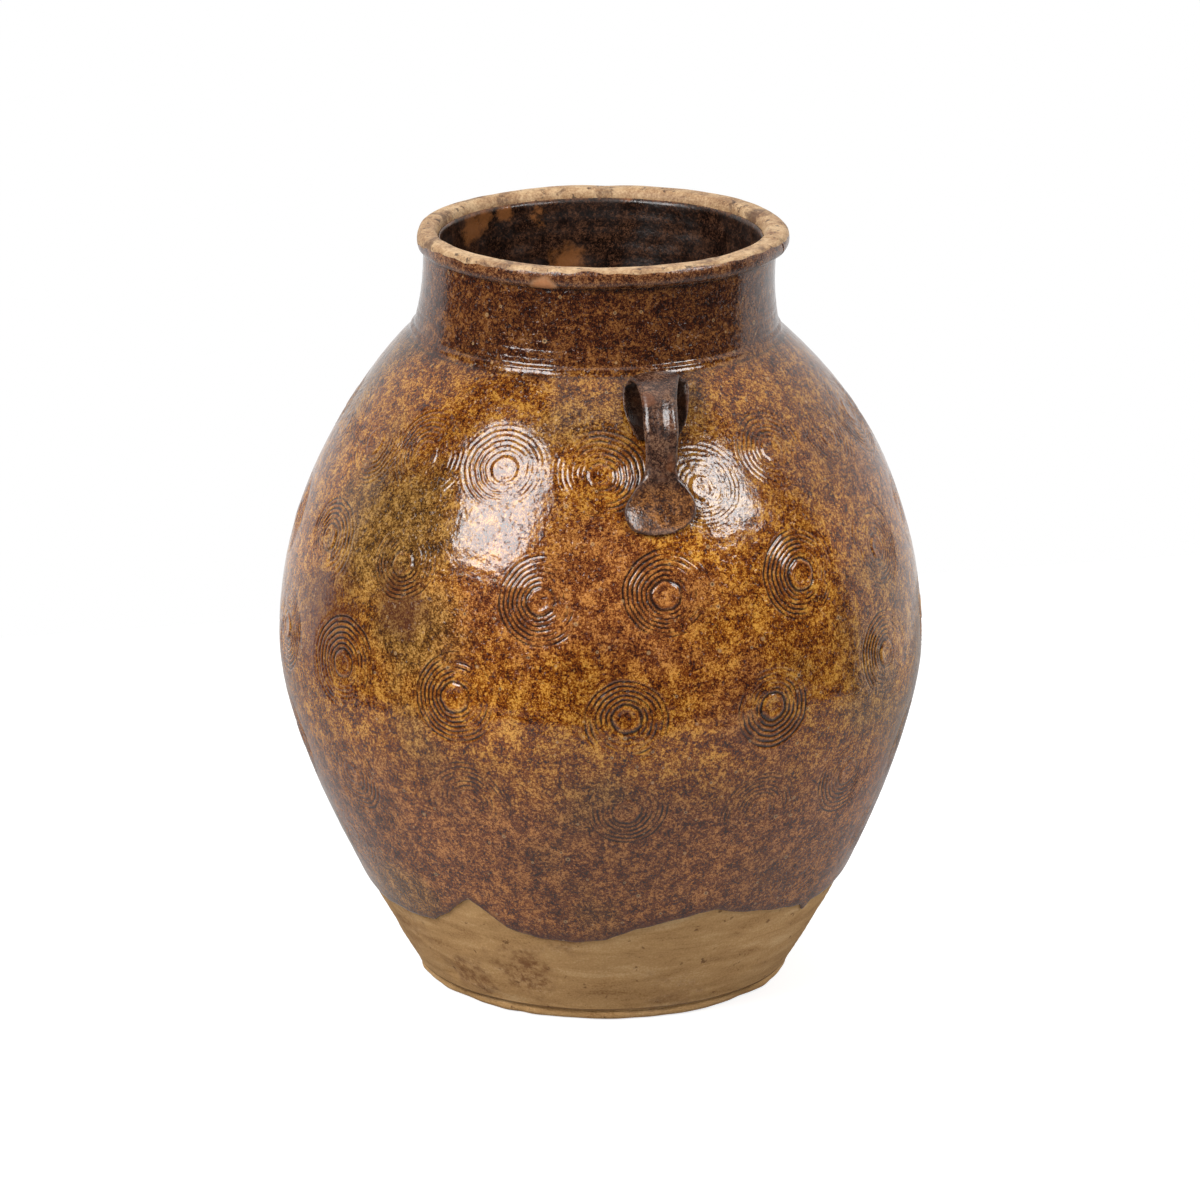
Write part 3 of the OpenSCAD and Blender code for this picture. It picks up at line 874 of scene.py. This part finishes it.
def make_glaze():
    """The brown coat: its stamped and cut outer face, and its back against the clay."""
    line = coat_outline()
    where = lengths(line)
    top = where[-1]
    angle = np.arange(COAT_COLUMNS) * 360 / COAT_COLUMNS
    foot = np.interp(glaze_edge(angle), line[:, 1], where)[None]
    at = foot + (top - foot) * np.linspace(0, 1, COAT_ROWS)[:, None]
    points, normals = along(line, at)
    radius, z = points[..., 0], points[..., 1]
    angles = np.repeat(angle[None], COAT_ROWS, 0)
    relief, groove, ridge = coat_relief(radius, z, angles)
    above = at - foot
    coat = 0.86 * np.sqrt(np.clip(above / 1.6, 0.0, 1)) + 0.3 * bell(above, 2.2, 2.0) + 0.06
    fade = np.clip((top - at) / 1.5, 0, 1) ** 0.5
    off = np.maximum(coat * (0.3 + 0.7 * fade) + relief * np.clip(above / 3, 0, 1), 0.05)
    off = np.minimum(off, GLAZE_T + 1.2 * (z > NECK_Z - 6))
    front = turned(radius + off * normals[..., 0], z + off * normals[..., 1], angles)
    back_at = foot + (top - foot) * np.linspace(1, 0, COAT_BACK_ROWS)[:, None]
    points, normals = along(line, back_at)
    points = points - COAT_BACK_SINK * normals
    back = turned(points[..., 0], points[..., 1], np.repeat(angle[None], COAT_BACK_ROWS, 0))
    pad = np.zeros((COAT_BACK_ROWS, COAT_COLUMNS))
    values = {"groove": np.vstack([groove, pad]), "ridge": np.vstack([ridge, pad]),
              "edge": np.vstack([bell(above, 0, 5.0), pad])}
    piece = ring_piece("outer_glaze_coat", np.concatenate([front, back]), BROWN_GLAZE, values)
    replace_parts(piece, "outer_glaze")


# The rolled rim

RIM_COLUMNS = 1080
RIM_SIDES = 56
RIM_BLUNT = 0.86
RIM_WIDE_ANGLE = 103.5
RIM_NOTCH_ANGLE = 165
RIM_GLAZED_ANGLE = 12
CRACK_ANGLE = 60.5
LAND_ROUND = 0.8


def rim_crack(angle, turn):
    """How open the crack is, and how deep the chip beside it, at an angle and a turn round the roll."""
    off = turn_from(angle, CRACK_ANGLE)
    kink = off * 1.6 + 0.8 * np.sin(turn / 23) + 0.3 * np.sin(turn / 7)
    open_side = np.clip((turn + 60) / 50, 0, 1) * np.clip((190 - turn) / 30, 0, 1)
    return bell(kink, 0, 0.42) * open_side, bell(off, 1.2, 1.5) * bell(turn, 40, 22)


def make_rim():
    """The roll, rubbed flat on top, notched at the back, with a crack and a chip on the right."""
    turn = np.linspace(-90, 270, RIM_SIDES, endpoint=False)[:, None]
    angle = (np.arange(RIM_COLUMNS) * 360 / RIM_COLUMNS)[None]
    c, s = np.cos(np.radians(turn)), np.sin(np.radians(turn))
    tube = ROLL_R + 0.35 * round_ripple(angle, 41, 60) + 0.15 * round_ripple(angle, 42, 15) - 0.25
    bulge = np.cos(np.radians(angle - RIM_WIDE_ANGLE))
    x = np.sign(c) * np.abs(c) ** RIM_BLUNT * tube * np.where(c > 0, 1 + 0.10 * bulge, 1)
    y = np.sign(s) * np.abs(s) ** RIM_BLUNT * tube
    radius = ROLL_R_MID + x + 0.9 * np.maximum(c, 0) * bulge
    z = ROLL_Z_MID + 0.55 * round_ripple(angle, 43, 80) - 0.5 + y
    worn = 0.9 * (0.5 + 0.5 * np.cos(np.radians(angle - CAMERA_AZIMUTH)))
    notch = 1.3 * bell(turn_from(angle, RIM_NOTCH_ANGLE), 0, 4.5)
    land = np.minimum(HEIGHT - 0.1 - worn - notch + 0.25 * round_ripple(angle, 44, 22), HEIGHT - 0.02)
    over = np.maximum(z - land + LAND_ROUND, 0)
    z = np.where(over > 0, land - LAND_ROUND * np.exp(-over / LAND_ROUND), z)
    crack, chip = rim_crack(angle, turn)
    z = z - (1.1 * crack + 0.5 * chip) * np.maximum(s, 0)
    radius = radius - (1.1 * crack + 0.8 * chip) * np.maximum(c, 0)
    glaze_line = 8 + 26 * np.cos(np.radians(angle - RIM_GLAZED_ANGLE))
    glaze_line = glaze_line + 12 * round_ripple(angle, 45, 45) + 8 * round_ripple(angle, 46, 14)
    under = np.where(turn > 150, step_up(turn, 208, 6), 1 - step_up(turn, glaze_line, 7))
    points = turned(radius, z, np.repeat(angle, RIM_SIDES, 0))
    piece = ring_piece("rolled_rim_clay", points, RIM_CLAY,
                       {"under": under, "crack": crack + 0.5 * chip})
    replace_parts(piece, "rolled_rim")


# The lugs

LUG_RINGS = 190
LUG_SIDES = 72
# Sections from tail to pad: drop below the neck, stand-off, width, thickness, dish
LUG_ROWS = np.array([
    (29, 1.2, LUG_W * 0.60, LUG_T * 0.7, 0),
    (22, 1.6, LUG_W * 0.86, LUG_T * 0.8, 0),
    (14, 1.9, LUG_W * 0.96, LUG_T * 0.85, 0),
    (7.5, 3.2, LUG_W * 0.92, LUG_T, 0),
    (5.5, 7.6, LUG_W * 0.80, LUG_T, 0),
    (10, LUG_OUT * 0.78, LUG_W * 0.62, LUG_T * 1.1, 0),
    (18, LUG_OUT * 0.92, LUG_W * 0.51, LUG_T * 1.25, 0),
    (28, LUG_OUT * 0.80, LUG_PINCH_W * 1.10, LUG_T * 1.35, 0),
    (38, LUG_OUT * 0.45, LUG_PINCH_W, LUG_T * 1.4, 0),
    (LUG_DROP - 26, 3.4, LUG_PINCH_W * 1.08, LUG_T * 1.3, 0),
    (LUG_DROP - 20.5, 2.4, LUG_PAD_W * 0.74, LUG_T, LUG_DISH * 0.6),
    (LUG_DROP - 14, 1.7, LUG_PAD_W * 0.98, LUG_T * 0.85, LUG_DISH),
    (LUG_DROP - 8, 1.6, LUG_PAD_W * 0.97, LUG_T * 0.8, LUG_DISH),
    (LUG_DROP - 3.2, 1.6, LUG_PAD_W * 0.76, LUG_T * 0.8, LUG_DISH * 0.8),
    (LUG_DROP - 0.8, 1.6, LUG_PAD_W * 0.46, LUG_T * 0.75, LUG_DISH * 0.2),
    (LUG_DROP, 1.5, LUG_PAD_W * 0.2, LUG_T * 0.6, 0)])


def smooth_rows(share):
    """Sections between the listed ones, on a smooth curve through them."""
    x = share * (len(LUG_ROWS) - 1)
    i = np.minimum(x.astype(int), len(LUG_ROWS) - 2)
    t = (x - i)[:, None]
    a, b, c, d = (LUG_ROWS[np.clip(i + k, 0, len(LUG_ROWS) - 1)] for k in (-1, 0, 1, 2))
    return (b + t * (c - a) / 2 + t * t * (2 * a - 5 * b + 4 * c - d) / 2
            + t ** 3 * (3 * b - a - 3 * c + d) / 2)


def make_lug(name, node, back, seed):
    """A strap with a cupped tail, folded forward, ribbed, and dished by the thumb at its pad."""
    rows = smooth_rows(np.linspace(0, 1, LUG_RINGS))
    drop, width, thick, dish = rows[:, 0:1], rows[:, 2:3], rows[:, 3:4], rows[:, 4:5]
    base, normals = along(WALL_LINE, np.interp(NECK_Z - rows[:, 0], WALL_LINE[:, 1], WALL_LENGTHS))
    middle = base + rows[:, 1:2] * normals
    up = -outward(middle)
    a = np.linspace(0, 2 * math.pi, LUG_SIDES, endpoint=False)[None]
    c, s = np.cos(a), np.sin(a)
    rough = np.random.default_rng(seed)
    step = np.linspace(0, 1, LUG_RINGS)[:, None]
    uneven = sum(np.sin(step * rough.uniform(8, 40) + a * rough.integers(1, 4) + rough.uniform(0, 6))
                 for _ in range(6)) / 6
    square = 0.9 - 0.7 * dish
    side = width / 2 * np.sign(c) * np.abs(c) ** square * (1 + 0.05 * uneven)
    lift = thick / 2 * np.sign(s) * np.abs(s) ** square * (1 + 0.09 * uneven)
    lift = lift - thick * dish * np.maximum(s, 0) ** 2
    strap = np.clip((drop - 12) / 12, 0, 1) * np.clip((LUG_DROP - 24 - drop) / 8, 0, 1)
    lift = lift + 0.34 * strap * np.maximum(s, 0) * np.cos(side / width * 2 * math.pi * 2.5)
    tail = np.clip((np.argmin(rows[:, 0]) + 8 - np.arange(LUG_RINGS)) / 14, 0, 1)[:, None]
    cup = tail * (4.2 * np.abs(c) ** 3 - 1.6 * np.maximum(-s, 0) ** 2)
    lift = lift - cup * np.clip((31 - drop) / 9, 0, 1)
    across = side + LUG_LEAN * (0.5 - drop / LUG_DROP)
    points = np.stack([across, -middle[:, :1] - lift * up[:, :1], middle[:, 1:] + lift * up[:, 1:]], -1)
    if back:
        points[..., :2] *= -1
    on_pad = np.clip(dish / LUG_DISH * 1.5 - 0.3, 0, 1)
    # "shade" marks the tail under the fold, where painted shade and pooled glaze darken the glaze.
    values = {"brim": np.clip(dish / LUG_DISH, 0, 1) * bell(np.abs(c), 0.93, 0.1) * (s > -0.2),
              "pad": on_pad * np.clip(s * 3 - 0.2, 0, 1) * (np.abs(c) < 0.9),
              "shade": tail * (np.abs(c) < 0.93)}
    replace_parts(capped_piece(name, points, LUG_GLAZE, values, flip=True), node)


# The lining

def make_lining_piece():
    """The inner glaze from the floor's middle up to the rim, with the rings of the thrower's fingers."""
    columns = 540
    outer = np.vstack([[(0.5, FLOOR_T), (60, FLOOR_T), (INNER_LINE[0][0] - FLOOR_BEVEL, FLOOR_T)],
                       INNER_LINE[::6], throat_line()[1:], [(MOUTH_R, ROLL_Z_MID)]])
    outer = even(outer, 2.5)
    normals = outward(smoothed(outer, 5))
    radius, z, angle = spun((outer - LINING_T * normals)[::-1], columns)
    rings = 0.22 * np.sin(z * 0.75 + 0.5 * np.sin(np.radians(angle))) + 0.25 * ripple(angle, z, 51, 30)
    radius = radius - np.clip(rings, -0.55, 0.6) * np.clip(radius / 40 - 1, 0, 1)
    points = np.concatenate([turned(*spun(outer, columns)), turned(np.maximum(radius, 0.5), z, angle)])
    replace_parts(capped_piece("inner_glaze_lining", points, LINING), "inner_glaze")


make_walls()
make_base()
make_neck()
make_glaze()
make_rim()
make_lug("front_lug_strap", "front_lug", False, 61)
make_lug("back_lug_strap", "back_lug", True, 62)
make_lining_piece()


# Camera, floor and lights

FLOOR_SIZE = 1.3
FLOOR_DROP = 0.0004
FLOOR_COLOUR = 0.5
FLOOR_GLOW = 0.72
LAMP_TARGET = (0, 0, 0.25)
BACKDROP_TURN = -6
BACKDROP_DIP = -18
BACKDROP_EDGE = (0.20, 0.34)
STUDIO_LIGHT = 0.10
BACKDROP_LIGHT = 0.9


def direction(azimuth, elevation):
    """The way from the jar out to something; azimuth 0 is -Y, 90 is +X."""
    a, e = math.radians(azimuth), math.radians(elevation)
    return Vector((math.sin(a) * math.cos(e), -math.cos(a) * math.cos(e), math.sin(e)))


def make_camera():
    data = bpy.data.cameras.new("camera")
    data.lens = CAMERA_LENS
    data.sensor_width = 36
    data.clip_end = 50
    camera = bpy.data.objects.new("camera", data)
    bpy.context.scene.collection.objects.link(camera)
    aim = Vector((0, 0, CAMERA_AIM_Z)) - Vector(LEAN_WAY) * CAMERA_AIM_LEFT
    back = direction(CAMERA_AZIMUTH, CAMERA_ELEVATION)
    camera.location = aim + back * CAMERA_DISTANCE
    camera.rotation_euler = (-back).to_track_quat("-Z", "Y").to_euler()
    bpy.context.scene.camera = camera


def make_lamp(name, azimuth, elevation, distance, width, height, power):
    data = bpy.data.lights.new(name, "AREA")
    data.shape = "RECTANGLE"
    data.size = width
    data.size_y = height
    data.energy = power
    lamp = bpy.data.objects.new(name, data)
    bpy.context.scene.collection.objects.link(lamp)
    target = Vector(LAMP_TARGET)
    lamp.location = target + direction(azimuth, elevation) * distance
    lamp.rotation_euler = (target - lamp.location).to_track_quat("-Z", "Y").to_euler()


def make_floor():
    """A pale floor that looks white to the camera, apart from the jar's shadow."""
    half = FLOOR_SIZE / 2
    corners = [(-half, -half, 0), (half, -half, 0), (half, half, 0), (-half, half, 0)]
    mesh = bpy.data.meshes.new("floor")
    mesh.from_pydata(corners, [], [(0, 1, 2, 3)])
    floor = bpy.data.objects.new("floor", mesh)
    bpy.context.scene.collection.objects.link(floor)
    floor.location.z = -FLOOR_DROP
    made, tree, shader, _ = material("floor")
    shader.inputs["Base Color"].default_value = (FLOOR_COLOUR, FLOOR_COLOUR, FLOOR_COLOUR, 1)
    shader.inputs["Roughness"].default_value = 1.0
    shader.inputs["Specular IOR Level"].default_value = 0.0
    seen = tree.nodes.new("ShaderNodeLightPath").outputs["Is Camera Ray"]
    socket(tree, shader, "Emission Color", (1, 1, 1, 1))
    socket(tree, shader, "Emission Strength", times(tree, seen, FLOOR_GLOW))
    mesh.materials.append(made)


def make_world():
    """White where the camera sees it and behind the jar; a dimmer studio in front and above."""
    world = bpy.data.worlds.new("studio")
    bpy.context.scene.world = world
    world.use_nodes = True
    tree = world.node_tree
    tree.nodes.clear()
    way = add(tree, "TexCoord", {}).outputs["Generated"]
    behind = tuple(-direction(CAMERA_AZIMUTH + BACKDROP_TURN, BACKDROP_DIP))
    depth = add(tree, "VectorMath", {0: way, 1: behind}, operation="DOT_PRODUCT").outputs["Value"]
    light = rescale(tree, depth, *BACKDROP_EDGE, STUDIO_LIGHT, BACKDROP_LIGHT)
    seen = tree.nodes.new("ShaderNodeLightPath").outputs["Is Camera Ray"]
    colour = blend(tree, seen, grey(tree, light), (1, 1, 1, 1))
    background = add(tree, "Background", {"Color": colour, "Strength": 1.0})
    out = tree.nodes.new("ShaderNodeOutputWorld")
    tree.links.new(background.outputs[0], out.inputs["Surface"])


make_camera()
make_floor()
make_world()
make_lamp("left_softbox", -58, 36, 1.6, 0.78, 0.84, 27)
make_lamp("right_softbox", 44, 36, 1.6, 0.52, 0.56, 13)
make_lamp("top_softbox", -10, 80, 1.8, 1.2, 1.2, 4)

scene = bpy.context.scene
scene.view_settings.view_transform = "Standard"
